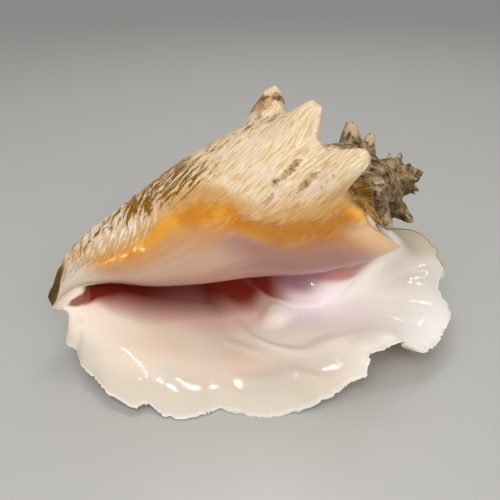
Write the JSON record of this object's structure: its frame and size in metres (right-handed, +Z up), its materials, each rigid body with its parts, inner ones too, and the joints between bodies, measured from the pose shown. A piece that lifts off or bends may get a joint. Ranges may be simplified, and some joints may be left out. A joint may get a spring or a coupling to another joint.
{
  "type": "conch shell",
  "caption": "Large conch shell with a spined body whorl, pointed spire and wide flared glossy lip, lying on its back with the mouth to the front; a display or prop piece.",
  "frame": {"origin": "middle of the shell's bounding box, at the level of the table it rests on", "axes": "+X from the siphon end towards the spire, +Y away from the viewer of the picture, +Z up"},
  "size_m": [0.2296, 0.172, 0.1312],
  "materials": {
    "shell": "chalky outside, glazed inside the mouth and lip"
  },
  "bodies": {
    "root": {"conch_shell": "shell"}
  },
  "joints": []
}
